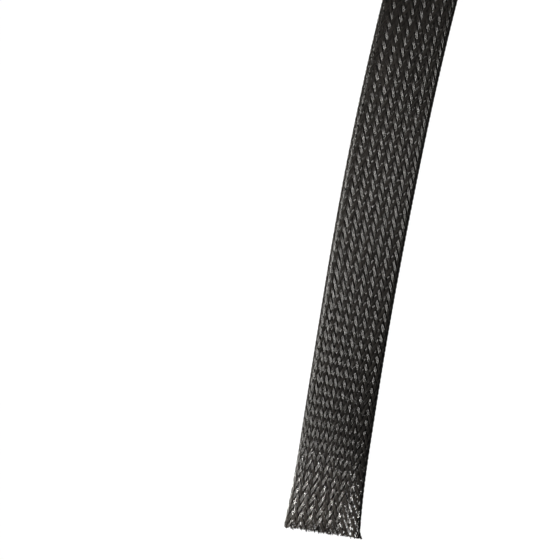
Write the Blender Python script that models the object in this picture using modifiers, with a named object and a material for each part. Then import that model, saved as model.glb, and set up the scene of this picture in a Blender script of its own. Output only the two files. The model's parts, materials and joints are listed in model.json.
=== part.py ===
"""Braided cable sleeve: flat-lying tube of black monofilament braid, cut square at both ends.

Metres, +Z up. The sleeve lies on its flat underside at Z = 0, with the middle of its bounding box at
X = Y = 0. Its straight far part runs along +Y, and its gently bent near part ends towards -Y.
"""

import math

import bmesh
import bpy
from mathutils import Vector

# Driving sizes: the tube as it lies flat
SLEEVE_LENGTH = 0.500
FLAT_WIDTH = 0.0195
EDGE_THICKNESS = 0.0030
MIDDLE_THICKNESS = 0.0037
WALL_THICKNESS = 0.0006

# Driving sizes: each cut end, where the braid opens out and lies flatter
FLARE_LENGTH = 0.025
FLARE_WIDTH = 0.0213
FLARE_EDGE_THICKNESS = 0.0026
FLARE_MIDDLE_THICKNESS = 0.0031

# Driving sizes: the bend, whose curvature grows from the near cut end and fades out again
BEND_PEAK = 0.150
BEND_END = 0.210
BEND_TURN = math.radians(7.8)

# Fineness of the mesh
STATION_STEP = 0.010
FLARE_STEP = 0.004
LINE_STEP = 0.001
ROUND_STEPS = 8
CROWN_STEPS = 8
SHARP_ANGLE = math.radians(35)

# Dry black polyester monofilament
YARN_COLOUR = (0.017, 0.016, 0.015, 1.0)
YARN_ROUGHNESS = 0.35

COLLECTION_NAME = "braided_cable_sleeve"
SLEEVE_NAME = "braided_sleeve"


def clear_scene():
    """Remove every object, so that the file holds only the sleeve."""
    for thing in list(bpy.data.objects):
        bpy.data.objects.remove(thing, do_unlink=True)


def heading(distance):
    """Angle from +Y towards -X of the middle line, at a distance along it from the near cut end."""
    peak_curvature = 2 * BEND_TURN / BEND_END
    if distance >= BEND_END:
        return 0.0
    if distance <= BEND_PEAK:
        return BEND_TURN - peak_curvature * distance**2 / (2 * BEND_PEAK)
    return peak_curvature * (BEND_END - distance) ** 2 / (2 * (BEND_END - BEND_PEAK))


def direction(distance):
    """Unit vector along the middle line, away from the near cut end."""
    angle = heading(distance)
    return Vector((-math.sin(angle), math.cos(angle), 0.0))


def middle_point(distance):
    """Point of the middle line on the floor, measured from the near cut end."""
    steps = max(1, round(distance / LINE_STEP))
    length = distance / steps
    point = Vector((0.0, 0.0, 0.0))
    for step in range(steps):
        point += direction((step + 0.5) * length) * length
    return point


def flare_share(distance):
    """How far the braid has opened out: 1 at either cut end, 0 past the flares."""
    from_end = min(distance, SLEEVE_LENGTH - distance)
    return max(0.0, 1.0 - from_end / FLARE_LENGTH) ** 3


def between(plain, flared, distance):
    """A size of the section, blended from its plain value to its value at a cut end."""
    return plain + (flared - plain) * flare_share(distance)


def lying_outline(width, edge, middle):
    """Outline of the lying tube, as (across, height) pairs: a flat underside, two half rounds as thick
    as the edge, and a top that is arched to the thickness in the middle.
    """
    radius = edge / 2
    reach = width / 2 - radius
    right_round = []
    for step in range(ROUND_STEPS + 1):
        angle = math.pi * (step / ROUND_STEPS - 0.5)
        right_round.append((reach + radius * math.cos(angle), radius + radius * math.sin(angle)))
    left_round = [(-across, height) for across, height in reversed(right_round)]
    crown = []
    for step in range(1, CROWN_STEPS):
        share = 1 - 2 * step / CROWN_STEPS
        crown.append((reach * share, edge + (middle - edge) * (1 - share**2)))
    return right_round + crown + left_round


def station_distances():
    """Distances of the sections from the near cut end: close together in the flares, even between."""
    flare_steps = max(1, math.ceil(FLARE_LENGTH / FLARE_STEP))
    near = [FLARE_LENGTH * step / flare_steps for step in range(flare_steps)]
    plain_length = SLEEVE_LENGTH - 2 * FLARE_LENGTH
    plain_steps = max(1, round(plain_length / STATION_STEP))
    plain = [FLARE_LENGTH + plain_length * step / plain_steps for step in range(plain_steps + 1)]
    far = [SLEEVE_LENGTH - distance for distance in reversed(near)]
    return near + plain + far


def section_points(distance):
    """Points of the outer surface at one distance along the sleeve."""
    width = between(FLAT_WIDTH, FLARE_WIDTH, distance)
    edge = between(EDGE_THICKNESS, FLARE_EDGE_THICKNESS, distance)
    middle = between(MIDDLE_THICKNESS, FLARE_MIDDLE_THICKNESS, distance)
    centre = middle_point(distance)
    up = Vector((0.0, 0.0, 1.0))
    sideways = direction(distance).cross(up)
    outline = lying_outline(width, edge, middle)
    return [centre + sideways * across + up * height for across, height in outline]


def centred(sections):
    """The sections moved so that the middle of their box is at X = Y = 0."""
    points = [point for section in sections for point in section]
    middle = Vector((0.0, 0.0, 0.0))
    for axis in (0, 1):
        values = [point[axis] for point in points]
        middle[axis] = (min(values) + max(values)) / 2
    return [[point - middle for point in section] for section in sections]


def outer_surface(sections):
    """Open tube through the sections, its faces pointing outwards."""
    mesh = bpy.data.meshes.new(SLEEVE_NAME)
    shape = bmesh.new()
    rings = [[shape.verts.new(point) for point in section] for section in sections]
    for ring, following in zip(rings, rings[1:]):
        for index in range(len(ring)):
            beside = (index + 1) % len(ring)
            shape.faces.new((ring[index], following[index], following[beside], ring[beside]))
    shape.to_mesh(mesh)
    shape.free()
    mesh.shade_smooth()
    mesh.set_sharp_from_angle(angle=SHARP_ANGLE)
    return mesh


def yarn_material():
    """Glossy black polyester, as the drawn monofilament is."""
    material = bpy.data.materials.new("black_polyester_monofilament")
    material.use_nodes = True
    shader = material.node_tree.nodes["Principled BSDF"]
    shader.inputs["Base Color"].default_value = YARN_COLOUR
    shader.inputs["Roughness"].default_value = YARN_ROUGHNESS
    shader.inputs["Metallic"].default_value = 0.0
    return material


def build_sleeve(collection):
    """The sleeve: the outer surface with its wall made inwards, open at both cut ends."""
    sections = centred([section_points(distance) for distance in station_distances()])
    sleeve = bpy.data.objects.new(SLEEVE_NAME, outer_surface(sections))
    sleeve.data.materials.append(yarn_material())
    wall = sleeve.modifiers.new("wall", "SOLIDIFY")
    wall.thickness = WALL_THICKNESS
    wall.offset = -1.0
    wall.use_even_offset = True
    wall.use_rim = True
    collection.objects.link(sleeve)
    return sleeve


def main():
    clear_scene()
    collection = bpy.data.collections.new(COLLECTION_NAME)
    bpy.context.scene.collection.children.link(collection)
    build_sleeve(collection)


main()
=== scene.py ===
# %% [markdown]
# A braided cable sleeve
#
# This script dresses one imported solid, a flat-lying tube, as the braid that it stands for: 192 black
# polyester monofilaments that cross over and under each other. It shows how Geometry Nodes can lay
# yarns along a path by a rule, and how gloss on thin round yarns makes the pattern that the eye sees.

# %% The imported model
import json
import math

import bpy
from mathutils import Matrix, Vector

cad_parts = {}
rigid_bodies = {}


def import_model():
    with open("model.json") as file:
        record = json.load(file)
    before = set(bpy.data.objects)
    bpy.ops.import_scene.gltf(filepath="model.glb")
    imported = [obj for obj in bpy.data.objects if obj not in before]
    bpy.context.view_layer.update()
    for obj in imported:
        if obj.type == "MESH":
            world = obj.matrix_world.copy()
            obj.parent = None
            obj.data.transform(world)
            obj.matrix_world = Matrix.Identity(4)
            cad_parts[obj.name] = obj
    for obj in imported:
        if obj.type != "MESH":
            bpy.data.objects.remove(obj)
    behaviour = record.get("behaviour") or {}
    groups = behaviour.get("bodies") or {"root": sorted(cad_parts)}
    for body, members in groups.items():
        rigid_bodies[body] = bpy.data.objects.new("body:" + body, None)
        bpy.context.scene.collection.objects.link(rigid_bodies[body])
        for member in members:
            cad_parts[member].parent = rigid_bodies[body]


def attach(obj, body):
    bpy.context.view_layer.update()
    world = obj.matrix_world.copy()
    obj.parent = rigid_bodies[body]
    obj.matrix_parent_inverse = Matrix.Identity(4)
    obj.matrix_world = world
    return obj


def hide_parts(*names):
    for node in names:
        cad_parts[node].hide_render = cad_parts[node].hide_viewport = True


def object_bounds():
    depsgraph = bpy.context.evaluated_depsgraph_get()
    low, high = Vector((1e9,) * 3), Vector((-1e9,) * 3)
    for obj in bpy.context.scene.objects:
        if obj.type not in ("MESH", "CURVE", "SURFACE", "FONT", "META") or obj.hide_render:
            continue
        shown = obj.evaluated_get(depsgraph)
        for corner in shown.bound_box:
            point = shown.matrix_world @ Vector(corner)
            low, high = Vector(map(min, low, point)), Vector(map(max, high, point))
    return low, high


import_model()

SLEEVE_NODE = "braided_sleeve"
MM = 0.001

cad_low, cad_high = [Vector(corner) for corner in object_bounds()]
print("CAD box in mm:", [round(side / MM, 1) for side in cad_high - cad_low])

# %% [markdown]
# The middle line
#
# The sleeve is limp stock that lies as it was put down: straight along +Y, with a gentle bend towards
# the cut end that faces us. The solid was made round the line below, so the same law is used here: the
# curvature grows from nothing at the near cut end, is strongest at `BEND_PEAK` and is gone by
# `BEND_END`. A list of points would do as well, but the law keeps the line smooth at any spacing.

# %% The line that the sleeve lies along
SLEEVE_LENGTH = 500 * MM
FLARE_WIDTH = 21.3 * MM
BEND_PEAK = 150 * MM
BEND_END = 210 * MM
BEND_TURN = math.radians(7.8)
LINE_STEP = 5 * MM


def heading(distance):
    """Angle of the line from +Y towards -X, at a distance along it from the near cut end."""
    peak_curvature = 2 * BEND_TURN / BEND_END
    if distance >= BEND_END:
        return 0.0
    if distance <= BEND_PEAK:
        return BEND_TURN - peak_curvature * distance**2 / (2 * BEND_PEAK)
    return peak_curvature * (BEND_END - distance) ** 2 / (2 * (BEND_END - BEND_PEAK))


def middle_line():
    """Points of the line on the floor, from the near cut end to the far one."""
    steps = round(SLEEVE_LENGTH / LINE_STEP)
    points = [Vector((0.0, 0.0, 0.0))]
    for step in range(steps):
        angle = heading((step + 0.5) * LINE_STEP)
        points.append(points[-1] + Vector((-math.sin(angle), math.cos(angle), 0.0)) * LINE_STEP)
    far_end = Vector((cad_low.x + FLARE_WIDTH / 2, cad_high.y, 0.0))
    return [point + far_end - points[-1] for point in points]


LINE = middle_line()
NEAR_END = LINE[0]
print("near cut end in mm:", [round(value / MM, 2) for value in NEAR_END])

# %% [markdown]
# The camera
#
# The picture looks straight down on a patch 155 mm wide. Its scale comes from the monofilament, 0.25 mm
# thick and 0.9 pixels wide in the picture. A photographer would use a long lens from well above the
# table, so that nothing leans outwards. The camera is rolled, because the sleeve lies at a slant.

# %% Camera
PICTURE_PIXELS = 560
PIXELS_PER_MM = 3.62
NEAR_END_PIXEL = (321.7, 533)
ROLL = math.radians(16.42)
CAMERA_HEIGHT = 0.9
SENSOR = 36.0
MIDDLE_THICKNESS = 3.7 * MM

picture_right = Vector((math.cos(ROLL), math.sin(ROLL), 0.0))
picture_up = Vector((-math.sin(ROLL), math.cos(ROLL), 0.0))


def on_floor(pixel_x, pixel_y, height=0.0):
    """The point that shows at a pixel of the picture, at a height over the floor."""
    right = (pixel_x - NEAR_END_PIXEL[0]) / PIXELS_PER_MM * MM
    down = (pixel_y - NEAR_END_PIXEL[1]) / PIXELS_PER_MM * MM
    point = NEAR_END + picture_right * right - picture_up * down
    return Vector((point.x, point.y, height))


camera_data = bpy.data.cameras.new("camera")
camera_data.sensor_width = SENSOR
picture_width = PICTURE_PIXELS / PIXELS_PER_MM * MM
camera_data.lens = SENSOR * (CAMERA_HEIGHT - MIDDLE_THICKNESS) / picture_width
camera = bpy.data.objects.new("camera", camera_data)
bpy.context.scene.collection.objects.link(camera)
camera.location = on_floor(PICTURE_PIXELS / 2, PICTURE_PIXELS / 2, CAMERA_HEIGHT)
camera.rotation_euler = (0.0, 0.0, ROLL)
bpy.context.scene.camera = camera
print("picture width in mm:", round(picture_width / MM, 1), "lens:", round(camera_data.lens, 1))

# %% [markdown]
# One helper for every node tree
#
# Materials and Geometry Nodes are both trees of nodes. One function adds a node, gives it its settings
# and sets or links its inputs. A node that is passed as a value stands for its first output.

# %% Node and colour helpers


def add(tree, kind, inputs=None, **settings):
    """Add a node with its settings, and fill its inputs with values, nodes or sockets."""
    node = tree.nodes.new(kind)
    for name, value in settings.items():
        setattr(node, name, value)
    for key, value in (inputs or {}).items():
        if isinstance(value, bpy.types.Node):
            value = value.outputs[0]
        if isinstance(value, bpy.types.NodeSocket):
            tree.links.new(value, node.inputs[key])
        else:
            node.inputs[key].default_value = value
    return node


def srgb(hex_colour):
    """Linear RGBA of an sRGB colour such as 1b1a19."""
    channels = [int(hex_colour[i : i + 2], 16) / 255 for i in (0, 2, 4)]
    return [c / 12.92 if c <= 0.04045 else ((c + 0.055) / 1.055) ** 2.4 for c in channels] + [1.0]


print("mid grey 808080, linear:", round(srgb("808080")[0], 3))

# %% [markdown]
# Black polyester monofilament
#
# The yarn is PET drawn through a die while hot, so its skin is smooth and glossy. The die's lines along
# it are far too fine to draw, and a little roughness stands for them. Carbon black makes it almost black
# right through. Its gloss does the rest: a thin glossy cylinder shows a bright line where it lies across
# the light, and stays dark where it points at the light.

# %% Yarn material
DARKEST_YARN = "201e1c"
PALEST_YARN = "2e2b28"
SMOOTHEST = 0.16
ROUGHEST = 0.22
PET_IOR = 1.575


def yarn_material():
    """Drawn black PET, with a slightly different skin on each yarn."""
    material = bpy.data.materials.new("drawn_black_pet_monofilament")
    material.use_nodes = True
    tree = material.node_tree
    shader = tree.nodes["Principled BSDF"]
    tone = add(tree, "ShaderNodeAttribute", attribute_name="yarn_tone")
    colour = add(tree, "ShaderNodeMix", {0: tone.outputs["Fac"]}, data_type="RGBA")
    colour.inputs[6].default_value = srgb(DARKEST_YARN)
    colour.inputs[7].default_value = srgb(PALEST_YARN)
    tree.links.new(colour.outputs[2], shader.inputs["Base Color"])
    roughness = add(tree, "ShaderNodeMapRange", {0: tone.outputs["Fac"], 3: SMOOTHEST, 4: ROUGHEST})
    tree.links.new(roughness.outputs[0], shader.inputs["Roughness"])
    shader.inputs["IOR"].default_value = PET_IOR
    return material


YARN = yarn_material()
print("material:", YARN.name)

# %% [markdown]
# The braid's rule
#
# A regular braid has as many carriers going one way round as the other, here 32 and 32, and each lays a
# flat ribbon of three yarns. Each ribbon goes over two of the others and under two. Measured round the
# tube in ribbon spacings `u`, and along it in ribbon pitches `v`, a ribbon of one lay is the line
# `u = i + v`, one of the other lay is `u = j - v`, and whether its middle lies outside depends on `u`
# alone. That's why the floats stand in straight columns along a sleeve. A float starts and ends at the
# ribbons that cross it at a slant, so a yarn beside its ribbon's middle changes sides half its offset later.

# %% Sizes of the braid
CARRIERS_PER_LAY = 32
ENDS = 3
FLAT_WIDTH = 19.5 * MM
EDGE_THICKNESS = 3.0 * MM
WALL = 0.6 * MM
FAR_PITCH = 2.86 * MM
NEAR_PITCH_GAIN = 0.27 * MM
PITCH_FADE = 28.0

wall_width = FLAT_WIDTH - WALL
wall_edge = EDGE_THICKNESS - WALL
girth = 2 * (wall_width - wall_edge) + math.pi * wall_edge
spacing = girth / CARRIERS_PER_LAY
braid_angle = math.atan(spacing / FAR_PITCH)
pitches = (SLEEVE_LENGTH - NEAR_PITCH_GAIN * PITCH_FADE) / FAR_PITCH
print("ribbon spacing in mm:", round(spacing / MM, 3), "angle:", round(math.degrees(braid_angle), 1))
print("ribbon pitches along the sleeve:", round(pitches, 1))

# %% [markdown]
# Section of the lying tube
#
# Geometry Nodes lay all the yarns by that rule, in one tree that is written here part by part. Curves
# swept one by one in Python would give the same mesh, but slower and with nothing to adjust afterwards.
# The first part is the wall's middle line, seen end on: a flat underside, two half rounds and a gently
# arched top. A rounded rectangle gives the first three, and its upper points are lifted into the arch.
# Its rounding is just under half the height, which leaves each edge a trace of flat between its arcs.

# %% Section
SECTION_POINTS = 240
ROUND_POINTS = 16
ROUNDING = 0.4999
ARCH = 0.55 * MM


def section_outline(tree, given):
    """Closed curve of the wall's middle line, with the underside at height 0."""
    outline = add(tree, "GeometryNodeCurvePrimitiveQuadrilateral",
                  {"Width": given["Wall Width"], "Height": given["Wall Edge"]})
    half = add(tree, "ShaderNodeMath", {0: given["Wall Edge"], 1: ROUNDING}, operation="MULTIPLY")
    outline = add(tree, "GeometryNodeFilletCurve", {"Curve": outline, "Radius": half, "Count": ROUND_POINTS},
                  mode="POLY")
    outline = add(tree, "GeometryNodeResampleCurve", {"Curve": outline, "Count": SECTION_POINTS})
    place = add(tree, "ShaderNodeSeparateXYZ", {0: add(tree, "GeometryNodeInputPosition")})
    reach = add(tree, "ShaderNodeMath", {0: given["Wall Width"], 1: given["Wall Edge"]}, operation="SUBTRACT")
    reach = add(tree, "ShaderNodeMath", {0: reach, 1: 0.5}, operation="MULTIPLY")
    share = add(tree, "ShaderNodeMath", {0: place.outputs[0], 1: reach}, operation="DIVIDE")
    share = add(tree, "ShaderNodeMath", {0: share, 1: share}, operation="MULTIPLY")
    share = add(tree, "ShaderNodeMath", {0: 1.0, 1: share}, operation="SUBTRACT", use_clamp=True)
    upper = add(tree, "ShaderNodeMath", {0: place.outputs[1], 1: 0.0}, operation="GREATER_THAN")
    lift = add(tree, "ShaderNodeMath", {0: share, 1: upper}, operation="MULTIPLY")
    lift = add(tree, "ShaderNodeMath", {0: lift, 1: given["Arch"]}, operation="MULTIPLY")
    lift = add(tree, "ShaderNodeMath", {0: lift, 1: half}, operation="ADD")
    lift = add(tree, "ShaderNodeCombineXYZ", {1: lift})
    return add(tree, "GeometryNodeSetPosition", {"Geometry": outline, "Offset": lift})


print("section:", SECTION_POINTS, "points round a girth of", round(girth / MM, 1), "mm")

# %% [markdown]
# How the two walls lie on each other
#
# Through the holes of the upper wall the eye meets the lower one, and where a hole lies over a hole it
# meets the white floor, as a bright dot. A limp braid turns a little inside itself when it is laid down.
# The yarns are therefore shifted round the tube, opposite ways above and below, which keeps yarns under
# the holes nearly everywhere. At one corner of the cut an extra slip, most of it in the lower wall, opens
# the dots that show there. Slips and places are in ribbon spacings, counted round from the right edge over
# the top. `SLIP_REACH` is in ribbon pitches along the sleeve, and `EDGE_BLEND` is the cosine, round the
# tube, past which a wall has its full slip.

# %% Slip of the walls
TURN = 1.25
NEAR_SLIP = 0.47
FAR_SLIP = -0.23
SLIP_REACH = 40.0
EDGE_BLEND = 0.67
CORNER_SLIP = 0.46
CORNER_PLACE = 29.7
CORNER_REACH = 1.4
CORNER_FADE = 2.0
CORNER_TAPER = 0.35


def wall_slip(tree, around, v):
    """Ribbon spacings by which the braid is shifted round the tube: opposite ways above and below."""
    angle = add(tree, "ShaderNodeMath", {0: around, 1: 2 * math.pi / CARRIERS_PER_LAY, 2: -math.pi / 2},
                operation="MULTIPLY_ADD")
    side = add(tree, "ShaderNodeMath", {0: angle}, operation="COSINE")
    side = add(tree, "ShaderNodeMapRange", {0: side, 1: -EDGE_BLEND, 2: EDGE_BLEND, 3: -1.0, 4: 1.0})
    slip = add(tree, "ShaderNodeMapRange", {0: v, 1: 0.0, 2: SLIP_REACH, 3: NEAR_SLIP, 4: FAR_SLIP})
    slip = add(tree, "ShaderNodeMath", {0: slip, 1: side}, operation="MULTIPLY")
    return add(tree, "ShaderNodeMath", {0: corner_slip(tree, around, v), 1: slip}, operation="ADD")


def corner_slip(tree, around, v):
    """Ribbon spacings of extra slip at the corner of the cut, fading with the way from it."""
    half_round = CARRIERS_PER_LAY / 2
    apart = add(tree, "ShaderNodeMath", {0: around, 1: half_round - CORNER_PLACE}, operation="ADD")
    apart = add(tree, "ShaderNodeMath", {0: apart, 1: CARRIERS_PER_LAY}, operation="FLOORED_MODULO")
    apart = add(tree, "ShaderNodeMath", {0: apart, 1: half_round}, operation="SUBTRACT")
    apart = add(tree, "ShaderNodeMath", {0: apart}, operation="ABSOLUTE")
    apart = add(tree, "ShaderNodeMath", {0: v, 1: CORNER_TAPER, 2: apart}, operation="MULTIPLY_ADD")
    return add(tree, "ShaderNodeMapRange", {0: apart, 1: CORNER_REACH, 2: CORNER_REACH + CORNER_FADE,
                                            3: CORNER_SLIP, 4: 0.0})


def outline_at(tree, outline, u, v):
    """The section's position and tangent at u ribbon spacings round it."""
    around = add(tree, "ShaderNodeMath", {0: u, 1: TURN}, operation="ADD")
    around = add(tree, "ShaderNodeMath", {0: around, 1: wall_slip(tree, around, v)}, operation="ADD")
    around = add(tree, "ShaderNodeMath", {0: around, 1: CARRIERS_PER_LAY}, operation="DIVIDE")
    around = add(tree, "ShaderNodeMath", {0: around}, operation="FRACT")
    return add(tree, "GeometryNodeSampleCurve", {"Curves": outline, "Factor": around}, mode="FACTOR",
               use_all_curves=True)


print("slip near the cut in mm:", round(NEAR_SLIP * spacing / MM, 2))
print("slip far from it in mm:", round(FAR_SLIP * spacing / MM, 2))

# %% [markdown]
# One line for each yarn
#
# Each yarn starts as a straight line of points in the plane of `u` and `v`. Drawn monofilament is stiff,
# so it lies flat on the two ribbons that it crosses, and bends only between them. Each flat stretch, above
# or below, therefore needs no more than a point at its start and one at its end, and smooth shading turns
# the light over it as over a slight arch. Each line is then shifted so that its flats lie where the rule
# puts them.

# %% Yarn lines
HALF_WAVE = 1.0
FLAT_STRETCH = 0.74
SPARE_HALF_WAVES = 4


def wave_line(tree):
    """A line along v with a point at both ends of each flat stretch."""
    half_waves = math.ceil(pitches / HALF_WAVE) + 2 * SPARE_HALF_WAVES
    line = add(tree, "GeometryNodeCurvePrimitiveLine", {"End": (0.0, 1.0, 0.0)})
    line = add(tree, "GeometryNodeResampleCurve", {"Curve": line, "Count": 2 * half_waves})
    index = add(tree, "GeometryNodeInputIndex")
    half_wave = add(tree, "ShaderNodeMath", {0: index, 1: 2.0}, operation="DIVIDE")
    half_wave = add(tree, "ShaderNodeMath", {0: half_wave}, operation="FLOOR")
    start_or_end = add(tree, "ShaderNodeMath", {0: index, 1: 2.0}, operation="MODULO")
    flat = add(tree, "ShaderNodeMath", {0: start_or_end, 1: FLAT_STRETCH}, operation="MULTIPLY")
    v = add(tree, "ShaderNodeMath", {0: half_wave, 1: HALF_WAVE, 2: flat}, operation="MULTIPLY_ADD")
    v = add(tree, "ShaderNodeMath", {0: v, 1: SPARE_HALF_WAVES * HALF_WAVE}, operation="SUBTRACT")
    place = add(tree, "ShaderNodeCombineXYZ", {1: v})
    return add(tree, "GeometryNodeSetPosition", {"Geometry": line, "Position": place})


def yarn_lines(tree, given):
    """Copies of the line, with each copy's number, its carrier and its place beside the carrier's middle."""
    yarns = add(tree, "ShaderNodeMath", {0: given["Carriers"], 1: ENDS}, operation="MULTIPLY")
    copies = add(tree, "GeometryNodeDuplicateElements", {"Geometry": wave_line(tree), "Amount": yarns},
                 domain="SPLINE")
    number = copies.outputs["Duplicate Index"]
    carrier = add(tree, "ShaderNodeMath", {0: number, 1: ENDS}, operation="DIVIDE")
    carrier = add(tree, "ShaderNodeMath", {0: carrier}, operation="FLOOR")
    carrier = add(tree, "ShaderNodeMath", {0: carrier, 1: given["First Carrier"]}, operation="ADD")
    end = add(tree, "ShaderNodeMath", {0: number, 1: ENDS}, operation="MODULO")
    end = add(tree, "ShaderNodeMath", {0: end, 1: (ENDS - 1) / 2}, operation="SUBTRACT")
    beside = add(tree, "ShaderNodeMath", {0: given["Yarn Pitch"], 1: spacing * math.cos(braid_angle)},
                 operation="DIVIDE")
    beside = add(tree, "ShaderNodeMath", {0: end, 1: beside}, operation="MULTIPLY")

    shift = add(tree, "ShaderNodeMath", {0: given["Crown"], 1: carrier}, operation="SUBTRACT")
    shift = add(tree, "ShaderNodeMath", {0: beside, 1: -0.5, 2: shift}, operation="MULTIPLY_ADD")
    shift = add(tree, "ShaderNodeMath", {0: shift, 1: given["Lay"]}, operation="MULTIPLY")
    shift = add(tree, "ShaderNodeMath", {0: shift, 1: FLAT_STRETCH / 2}, operation="SUBTRACT")
    shift = add(tree, "ShaderNodeMath", {0: shift, 1: HALF_WAVE}, operation="FLOORED_MODULO")
    offset = add(tree, "ShaderNodeCombineXYZ", {1: shift})
    moved = add(tree, "GeometryNodeSetPosition", {"Geometry": copies, "Offset": offset})
    return moved, number, carrier, beside, shift


print("yarns in a lay:", ENDS * CARRIERS_PER_LAY, "flats along each:", math.ceil(pitches / HALF_WAVE))

# %% [markdown]
# The square cut and the rows
#
# The braid was pulled a little askew, so its rows fall towards the right, while the scissors cut it
# square. Each yarn is therefore trimmed where it reaches the cut, give or take the cut's raggedness, and
# a few tips that slipped from the blades stand out further: a random draw raised to a high power is close
# to nothing for all but a few. A Boolean cut of the finished mesh would be slower and leave the tips even.

# %% Trimming
SHEAR = 0.115
RAGGED = 0.18 * MM
LONG_TIP = 0.9 * MM
LONG_TIP_RARITY = 14.0


def trimmed_lines(tree, given, outline, lines, number, carrier, beside, shift):
    """The yarn lines cut off at both ends of the sleeve."""
    cuts = []
    near_cut = (0.0, FAR_PITCH + NEAR_PITCH_GAIN, 0, -LONG_TIP)
    far_cut = (pitches, FAR_PITCH, 1, LONG_TIP)
    for cut_v, pitch, seed_step, outwards in (near_cut, far_cut):
        u = add(tree, "ShaderNodeMath", {0: cut_v, 1: given["Lay"], 2: carrier}, operation="MULTIPLY_ADD")
        u = add(tree, "ShaderNodeMath", {0: u, 1: beside}, operation="ADD")
        section = outline_at(tree, outline, u, cut_v)
        across = add(tree, "ShaderNodeSeparateXYZ", {0: section.outputs["Position"]})
        skew = add(tree, "ShaderNodeMath", {0: across, 1: given["Shear"]}, operation="MULTIPLY")
        seed = add(tree, "ShaderNodeMath", {0: given["Seed"], 1: seed_step}, operation="ADD")
        ragged = add(tree, "FunctionNodeRandomValue", {2: -RAGGED, 3: RAGGED, "ID": number, "Seed": seed},
                     data_type="FLOAT")
        cut = add(tree, "ShaderNodeMath", {0: skew, 1: ragged.outputs[1]}, operation="ADD")
        chance = add(tree, "FunctionNodeRandomValue", {2: 0.0, 3: 1.0, "ID": number, "Seed": seed},
                     data_type="FLOAT")
        chance = add(tree, "ShaderNodeMath", {0: chance.outputs[1], 1: LONG_TIP_RARITY}, operation="POWER")
        cut = add(tree, "ShaderNodeMath", {0: chance, 1: outwards, 2: cut}, operation="MULTIPLY_ADD")
        cut = add(tree, "ShaderNodeMath", {0: cut, 1: pitch}, operation="DIVIDE")
        cut = add(tree, "ShaderNodeMath", {0: cut, 1: cut_v + SPARE_HALF_WAVES * HALF_WAVE}, operation="ADD")
        cuts.append(add(tree, "ShaderNodeMath", {0: cut, 1: shift}, operation="SUBTRACT"))
    return add(tree, "GeometryNodeTrimCurve", {"Curve": lines, 4: cuts[0], 5: cuts[1]}, mode="LENGTH")


print("fall of a row across the sleeve in mm:", round(SHEAR * FLAT_WIDTH / MM, 2))

# %% [markdown]
# Over two and under two
#
# The sign of a cosine of `u` says on which side of the wall a flat stretch lies. Every ribbon also
# wanders a little from its even place, because the carriers never pull quite alike. Noise gives the
# wander, read at a spot of its own for each carrier, lay and seed.

# %% Wave and wander
WAVE_HEIGHT = 0.15 * MM
DRIFT = 0.03
DRIFT_SCALE = 0.22
NOISE_SCALE = 1.7
LAY_KEY = 50.0


def wave_height(tree, given, u, beside):
    """Height of a yarn over the wall's middle line."""
    phase = add(tree, "ShaderNodeMath", {0: u, 1: given["Crown"]}, operation="SUBTRACT")
    phase = add(tree, "ShaderNodeMath", {0: beside, 1: -0.5, 2: phase}, operation="MULTIPLY_ADD")
    phase = add(tree, "ShaderNodeMath", {0: phase, 1: math.pi}, operation="MULTIPLY")
    wave = add(tree, "ShaderNodeMath", {0: phase}, operation="COSINE")
    side = add(tree, "ShaderNodeMath", {0: wave}, operation="SIGN")
    return add(tree, "ShaderNodeMath", {0: side, 1: given["Wave Height"]}, operation="MULTIPLY")


def drifted(tree, given, u, v, carrier):
    """The yarn's own u with a slow wander, because no ribbon lies quite evenly."""
    key = add(tree, "ShaderNodeMath", {0: given["Lay"], 1: LAY_KEY, 2: given["Seed"]},
              operation="MULTIPLY_ADD")
    along = add(tree, "ShaderNodeMath", {0: v, 1: DRIFT_SCALE}, operation="MULTIPLY")
    spot = add(tree, "ShaderNodeCombineXYZ", {0: carrier, 1: along, 2: key})
    noise = add(tree, "ShaderNodeTexNoise", {"Vector": spot, "Scale": NOISE_SCALE, "Detail": 1.0})
    wander = add(tree, "ShaderNodeMapRange", {0: noise.outputs[0], 3: -DRIFT, 4: DRIFT})
    return add(tree, "ShaderNodeMath", {0: u, 1: wander}, operation="ADD")


print("wander in mm, either way:", round(DRIFT * spacing / MM, 3))

# %% [markdown]
# Wider ends and loose tips
#
# The ends of the tube are wider and flatter, and the neck behind them is a little narrower. Over the last
# rows nothing holds the ribbons down, so the tips wander, droop and lean to one side, as cut ends do. All
# of this fades with the distance from the cut. A lattice round the ends could do it as well, but it would
# flatten the yarns along with the tube.

# %% Sizes along the sleeve
FLARE_LENGTH = 25 * MM
FLARE_POWER = 2.2
FLARE_MIDDLE_THICKNESS = 3.1 * MM
NECK_START = 45 * MM
NECK_END = 110 * MM
NECK_WIDTH = 19.6 * MM
BODY_WIDTH = 20.4 * MM
END_WIDTH = 21.5 * MM
FRAY_LENGTH = 3.4 * MM
FRAY = 0.34 * MM
TIP_LENGTH = 3.0 * MM
TIP_POWER = 2.0
TIP_SHIFT = 0.38 * MM
TIP_DROOP = 0.28


def along_sleeve(tree, given, v, across):
    """Distance from the near cut end: drawn out a little near it, and with rows that fall to the right."""
    fade = add(tree, "ShaderNodeMath", {0: v, 1: -PITCH_FADE}, operation="DIVIDE")
    fade = add(tree, "ShaderNodeMath", {0: fade}, operation="EXPONENT")
    gain = add(tree, "ShaderNodeMath", {0: 1.0, 1: fade}, operation="SUBTRACT")
    gain = add(tree, "ShaderNodeMath", {0: gain, 1: NEAR_PITCH_GAIN * PITCH_FADE}, operation="MULTIPLY")
    along = add(tree, "ShaderNodeMath", {0: v, 1: FAR_PITCH, 2: gain}, operation="MULTIPLY_ADD")
    skew = add(tree, "ShaderNodeMath", {0: across, 1: given["Shear"]}, operation="MULTIPLY")
    return add(tree, "ShaderNodeMath", {0: along, 1: skew}, operation="SUBTRACT")


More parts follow.
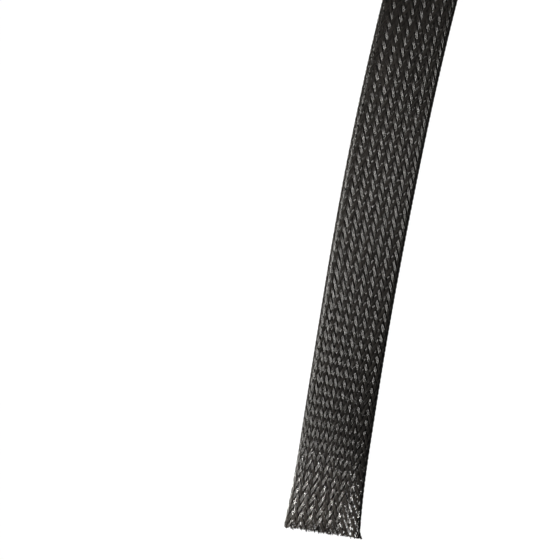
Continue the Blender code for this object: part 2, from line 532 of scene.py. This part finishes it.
def end_shares(tree, given, along, reach, power):
    """1 at either cut end, fading to 0 at a reach from it."""
    to_far = add(tree, "ShaderNodeMath", {0: given["Length"], 1: along}, operation="SUBTRACT")
    to_end = add(tree, "ShaderNodeMath", {0: along, 1: to_far}, operation="MINIMUM")
    share = add(tree, "ShaderNodeMapRange", {0: to_end, 1: 0.0, 2: reach, 3: 1.0, 4: 0.0})
    return add(tree, "ShaderNodeMath", {0: share, 1: power}, operation="POWER")


def frayed(tree, given, along, number):
    """Sideways and upward wander of a yarn's tip."""
    share = end_shares(tree, given, along, FRAY_LENGTH, TIP_POWER)
    wander = add(tree, "FunctionNodeRandomValue",
                 {0: (-FRAY, -FRAY, 0.0), 1: (FRAY, FRAY, FRAY), "ID": number, "Seed": given["Seed"]},
                 data_type="FLOAT_VECTOR")
    return add(tree, "ShaderNodeVectorMath", {0: wander, "Scale": share}, operation="SCALE")


def size_factors(tree, given, along):
    """Factors of the section's width and height at a distance along, and the share of the tips there."""
    flare = end_shares(tree, given, along, FLARE_LENGTH, FLARE_POWER)
    body = add(tree, "ShaderNodeMapRange", {0: along, 1: NECK_START, 2: NECK_END,
                                            3: NECK_WIDTH / FLAT_WIDTH, 4: BODY_WIDTH / FLAT_WIDTH},
               interpolation_type="SMOOTHSTEP")
    wide = add(tree, "ShaderNodeMapRange", {0: flare, 3: body, 4: (END_WIDTH - WALL) / wall_width})
    tip = end_shares(tree, given, along, TIP_LENGTH, TIP_POWER)
    flat = (FLARE_MIDDLE_THICKNESS - WALL) / (MIDDLE_THICKNESS - WALL)
    thick = add(tree, "ShaderNodeMapRange", {0: flare, 3: 1.0, 4: flat})
    thick = add(tree, "ShaderNodeMath", {0: tip, 1: -TIP_DROOP, 2: thick}, operation="MULTIPLY_ADD")
    return wide, thick, tip


print("width in mm at the cut:", END_WIDTH / MM, "neck:", NECK_WIDTH / MM, "body:", BODY_WIDTH / MM)

# %% [markdown]
# From the plane to the sleeve
#
# The last part turns `u` and `v` into a place: `u` picks a point of the section, `v` a distance along
# the middle line, and the wave lifts the yarn off the wall's middle line, square to the wall. A tip that
# reaches past the line's end goes straight on.

# %% Placing


def line_at(tree, given, along):
    """The middle line at a distance along it, and the step from it for what lies past its ends."""
    inside = add(tree, "ShaderNodeMath", {0: along, 1: 0.0}, operation="MAXIMUM")
    inside = add(tree, "ShaderNodeMath", {0: inside, 1: given["Length"]}, operation="MINIMUM")
    beyond = add(tree, "ShaderNodeMath", {0: along, 1: inside}, operation="SUBTRACT")
    path = add(tree, "GeometryNodeSampleCurve", {"Curves": given["Geometry"], "Length": inside},
               mode="LENGTH", use_all_curves=True)
    ahead = add(tree, "ShaderNodeVectorMath", {0: path.outputs["Tangent"], "Scale": beyond},
                operation="SCALE")
    return path, ahead


def placed(tree, given, outline, u, v, carrier, beside, number):
    """Position in space of a yarn's point."""
    section = outline_at(tree, outline, drifted(tree, given, u, v, carrier), v)
    place = add(tree, "ShaderNodeSeparateXYZ", {0: section.outputs["Position"]})
    way = add(tree, "ShaderNodeSeparateXYZ", {0: section.outputs["Tangent"]})
    height = wave_height(tree, given, u, beside)
    along = along_sleeve(tree, given, v, place.outputs[0])
    wide, thick, tip = size_factors(tree, given, along)
    path, ahead = line_at(tree, given, along)

    sideways = add(tree, "ShaderNodeVectorMath", {0: path.outputs["Tangent"], 1: (0.0, 0.0, 1.0)},
                   operation="CROSS_PRODUCT")
    across = add(tree, "ShaderNodeMath", {0: height, 1: way.outputs[1]}, operation="MULTIPLY")
    across = add(tree, "ShaderNodeMath", {0: place.outputs[0], 1: wide, 2: across}, operation="MULTIPLY_ADD")
    across = add(tree, "ShaderNodeMath", {0: tip, 1: TIP_SHIFT, 2: across}, operation="MULTIPLY_ADD")
    down = add(tree, "ShaderNodeMath", {0: height, 1: way.outputs[0]}, operation="MULTIPLY")
    up = add(tree, "ShaderNodeMath", {0: place.outputs[1], 1: thick}, operation="MULTIPLY")
    up = add(tree, "ShaderNodeMath", {0: up, 1: down}, operation="SUBTRACT")
    up = add(tree, "ShaderNodeMath", {0: up, 1: WALL / 2}, operation="ADD")
    offset = add(tree, "ShaderNodeVectorMath", {0: sideways, "Scale": across}, operation="SCALE")
    lifted = add(tree, "ShaderNodeCombineXYZ", {2: up})
    position = add(tree, "ShaderNodeVectorMath", {0: path.outputs["Position"], 1: offset}, operation="ADD")
    position = add(tree, "ShaderNodeVectorMath", {0: position, 1: ahead}, operation="ADD")
    position = add(tree, "ShaderNodeVectorMath", {0: position, 1: lifted}, operation="ADD")
    return add(tree, "ShaderNodeVectorMath", {0: position, 1: frayed(tree, given, along, number)},
               operation="ADD")


print("length of the line in mm:", round((len(LINE) - 1) * LINE_STEP / MM))

# %% [markdown]
# The tree put together
#
# The tree's inputs are the sizes that a braider would ask for, and the yarns change with them at once.
# Once the lines are cut and laid, a six-sided profile is swept along each, because a yarn is under a pixel
# wide and smooth shading makes it look round. The profile is drawn a little larger than the yarn, which
# gives it the round yarn's width on average. Each yarn also keeps its own random tone for the material.

# %% The whole tree
YARN_DIAMETER = 0.25 * MM
YARN_PITCH = 0.256 * MM
YARN_SIDES = 6
POLYGON_GAIN = 1.05


def new_tree(name, sockets):
    """A Geometry Nodes tree with named inputs, given as (name, type, default)."""
    tree = bpy.data.node_groups.new(name, "GeometryNodeTree")
    tree.interface.new_socket("Geometry", in_out="INPUT", socket_type="NodeSocketGeometry")
    for label, kind, default in sockets:
        socket = tree.interface.new_socket(label, in_out="INPUT", socket_type="NodeSocket" + kind)
        if default is not None:
            socket.default_value = default
    tree.interface.new_socket("Geometry", in_out="OUTPUT", socket_type="NodeSocketGeometry")
    return tree


def braid_tree():
    """Yarns of one lay, laid round the section and along the modifier's own curve."""
    tree = new_tree(
        "braid",
        [
            ("First Carrier", "Int", 0),
            ("Carriers", "Int", CARRIERS_PER_LAY),
            ("Lay", "Float", 1.0),
            ("Crown", "Float", 0.25),
            ("Seed", "Int", 1),
            ("Yarn Diameter", "Float", YARN_DIAMETER),
            ("Yarn Pitch", "Float", YARN_PITCH),
            ("Wall Width", "Float", wall_width),
            ("Wall Edge", "Float", wall_edge),
            ("Arch", "Float", ARCH),
            ("Wave Height", "Float", WAVE_HEIGHT),
            ("Shear", "Float", SHEAR),
            ("Length", "Float", SLEEVE_LENGTH),
            ("Material", "Material", None),
        ],
    )
    given = add(tree, "NodeGroupInput").outputs
    outline = section_outline(tree, given)
    lines, number, carrier, beside, shift = yarn_lines(tree, given)
    lines = trimmed_lines(tree, given, outline, lines, number, carrier, beside, shift)

    v = add(tree, "ShaderNodeSeparateXYZ", {0: add(tree, "GeometryNodeInputPosition")}).outputs[1]
    u = add(tree, "ShaderNodeMath", {0: v, 1: given["Lay"], 2: carrier}, operation="MULTIPLY_ADD")
    u = add(tree, "ShaderNodeMath", {0: u, 1: beside}, operation="ADD")
    tone = add(tree, "FunctionNodeRandomValue", {2: 0.0, 3: 1.0, "ID": number, "Seed": given["Seed"]},
               data_type="FLOAT")
    toned = add(tree, "GeometryNodeStoreNamedAttribute",
                {"Geometry": lines, "Name": "yarn_tone", "Value": tone.outputs[1]},
                data_type="FLOAT", domain="POINT")
    position = placed(tree, given, outline, u, v, carrier, beside, number)
    laid = add(tree, "GeometryNodeSetPosition", {"Geometry": toned, "Position": position})

    radius = add(tree, "ShaderNodeMath", {0: given["Yarn Diameter"], 1: POLYGON_GAIN / 2},
                 operation="MULTIPLY")
    profile = add(tree, "GeometryNodeCurvePrimitiveCircle", {"Resolution": YARN_SIDES, "Radius": radius})
    laid = add(tree, "GeometryNodeSetCurveNormal", {"Curve": laid}, mode="Z_UP")
    mesh = add(tree, "GeometryNodeCurveToMesh", {"Curve": laid, "Profile Curve": profile, "Fill Caps": True})
    mesh = add(tree, "GeometryNodeSetShadeSmooth", {"Geometry": mesh})
    mesh = add(tree, "GeometryNodeRealizeInstances", {"Geometry": mesh})
    mesh = add(tree, "GeometryNodeSetMaterial", {"Geometry": mesh, "Material": given["Material"]})
    add(tree, "NodeGroupOutput", {"Geometry": mesh})
    return tree


BRAID = braid_tree()
print("braid tree:", len(BRAID.nodes), "nodes")

# %% [markdown]
# Laying the yarns
#
# The tree runs along a curve through the points of the middle line, once for each piece. Half the yarns
# go round one way and half the other. Their crowns, where a float has its middle, are one spacing apart,
# so where one lay is outside, the other is inside. Each lay is made as three pieces, so that none has too
# many faces, and a piece has a seed for each of its cut ends. What the tree grows is copied to a plain
# mesh, because the finished braid needs no live curve.

# %% Lay the yarns
LAYS = {"right_lay": (1.0, 0.25), "left_lay": (-1.0, 1.25)}
GROUPS_PER_LAY = 3
SEEDS_PER_LAY = 10
SEEDS_PER_PIECE = 2


def set_inputs(modifier, values):
    """Set a modifier's named inputs by their sockets' identifiers."""
    for item in modifier.node_group.interface.items_tree:
        if item.item_type == "SOCKET" and item.in_out == "INPUT" and item.name in values:
            modifier[item.identifier] = values[item.name]


def line_curve(name):
    """The middle line as a curve object for a tree to follow."""
    curve = bpy.data.curves.new(name, "CURVE")
    curve.dimensions = "3D"
    spline = curve.splines.new("POLY")
    spline.points.add(len(LINE) - 1)
    for point, place in zip(spline.points, LINE):
        point.co = (*place, 1.0)
    return curve


def grown(name, tree, values):
    """A plain mesh object with what a tree makes along the middle line."""
    curve = line_curve(name + "_line")
    carrier = bpy.data.objects.new(name + "_line", curve)
    bpy.context.scene.collection.objects.link(carrier)
    modifier = carrier.modifiers.new("grow", "NODES")
    modifier.node_group = tree
    set_inputs(modifier, values)
    evaluated = carrier.evaluated_get(bpy.context.evaluated_depsgraph_get())
    mesh = bpy.data.meshes.new_from_object(evaluated)
    bpy.data.objects.remove(carrier)
    bpy.data.curves.remove(curve)
    piece = bpy.data.objects.new(name, mesh)
    bpy.context.scene.collection.objects.link(piece)
    return piece


pieces = []
for lay_number, (lay_name, (lay, crown)) in enumerate(LAYS.items()):
    for group in range(GROUPS_PER_LAY):
        first = group * CARRIERS_PER_LAY // GROUPS_PER_LAY
        following = (group + 1) * CARRIERS_PER_LAY // GROUPS_PER_LAY
        values = {
            "First Carrier": first,
            "Carriers": following - first,
            "Lay": lay,
            "Crown": crown,
            "Seed": SEEDS_PER_LAY * lay_number + SEEDS_PER_PIECE * group,
            "Material": YARN,
        }
        piece = grown(f"{lay_name}_{group + 1}", BRAID, values)
        pieces.append(piece)
        triangles = sum(len(face.vertices) - 2 for face in piece.data.polygons)
        print(piece.name, "triangles:", triangles)

# %% [markdown]
# What the yarns stand for
#
# Together the six pieces take the imported solid's place and ride its body.

# %% Ride and replace
for piece in pieces:
    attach(piece, "root")
    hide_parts(SLEEVE_NODE)

print("declared:", len(pieces), "pieces as one cord of", round(SLEEVE_LENGTH / MM), "mm")

# %% [markdown]
# The table
#
# The sleeve lies on a white table. A table that was white to the yarns too would light them from below
# and from all sides, and wash out their gloss. So this one is dark grey to the light that falls on it,
# and a glow that only the camera sees makes it white.

# %% Floor
FLOOR_SIDE = 3.0

floor_mesh = bpy.data.meshes.new("floor")
signs = [(-1, -1), (1, -1), (1, 1), (-1, 1)]
corners = [(x * FLOOR_SIDE / 2, y * FLOOR_SIDE / 2, 0.0) for x, y in signs]
floor_mesh.from_pydata(corners, [], [(0, 1, 2, 3)])
floor = bpy.data.objects.new("floor", floor_mesh)
bpy.context.scene.collection.objects.link(floor)
floor_material = bpy.data.materials.new("matt_white_table")
floor_material.use_nodes = True
floor_tree = floor_material.node_tree
floor_shader = floor_tree.nodes["Principled BSDF"]
floor_shader.inputs["Base Color"].default_value = srgb("444444")
floor_shader.inputs["Roughness"].default_value = 0.9
floor_shader.inputs["Specular IOR Level"].default_value = 0.1
floor_shader.inputs["Emission Color"].default_value = srgb("ffffff")
seen = add(floor_tree, "ShaderNodeLightPath").outputs["Is Camera Ray"]
floor_tree.links.new(seen, floor_shader.inputs["Emission Strength"])
floor_mesh.materials.append(floor_material)
print("floor:", FLOOR_SIDE, "m square")

# %% [markdown]
# The light
#
# Small softboxes stand along the left side of the sleeve, and a grid on each keeps its light to its own
# stretch. A yarn shines where it lies square to a light's direction, so the main and far lights bring out
# the ribbons of one lay, and the near light those of the other. A single large light would show both
# lays alike everywhere. The last softbox is for the straight part that the picture leaves out.

# %% Light
SOFTBOX_COLOUR = "fffdf9"
MAIN_PLACE = on_floor(-100, 365, 0.092)
MAIN_TARGET = on_floor(372, 240)
FAR_PLACE = on_floor(-100, 185, 0.100)
FAR_TARGET = on_floor(400, 60)
NEAR_PLACE = on_floor(-30, 330, 0.085)
NEAR_TARGET = on_floor(342, 612)
UNSEEN_DISTANCE = 380 * MM
UNSEEN_TARGET = LINE[round(UNSEEN_DISTANCE / LINE_STEP)]
UNSEEN_PLACE = UNSEEN_TARGET + Vector((-0.153, -0.047, 0.12))


def softbox(name, place, target, width, height, watts, spread):
    """A rectangular area light that faces a point, with a grid that keeps it to its spread in degrees."""
    data = bpy.data.lights.new(name, "AREA")
    data.shape = "RECTANGLE"
    data.size = width
    data.size_y = height
    data.energy = watts
    data.color = srgb(SOFTBOX_COLOUR)[:3]
    data.spread = math.radians(spread)
    lamp = bpy.data.objects.new(name, data)
    bpy.context.scene.collection.objects.link(lamp)
    lamp.location = place
    lamp.rotation_euler = (target - place).to_track_quat("-Z", "Y").to_euler()
    return lamp


softbox("main_softbox", MAIN_PLACE, MAIN_TARGET, width=0.080, height=0.050, watts=0.077, spread=68)
softbox("far_softbox", FAR_PLACE, FAR_TARGET, width=0.050, height=0.060, watts=0.0175, spread=42)
softbox("near_softbox", NEAR_PLACE, NEAR_TARGET, width=0.046, height=0.050, watts=0.043, spread=22)
softbox("unseen_part_softbox", UNSEEN_PLACE, UNSEEN_TARGET, width=0.20, height=0.10, watts=0.34, spread=72)
world = bpy.data.worlds.new("studio")
bpy.context.scene.world = world
world.use_nodes = True
world.node_tree.nodes["Background"].inputs["Color"].default_value = srgb("f6f5f4")
world.node_tree.nodes["Background"].inputs["Strength"].default_value = 0.15
bpy.context.scene.view_settings.view_transform = "Standard"
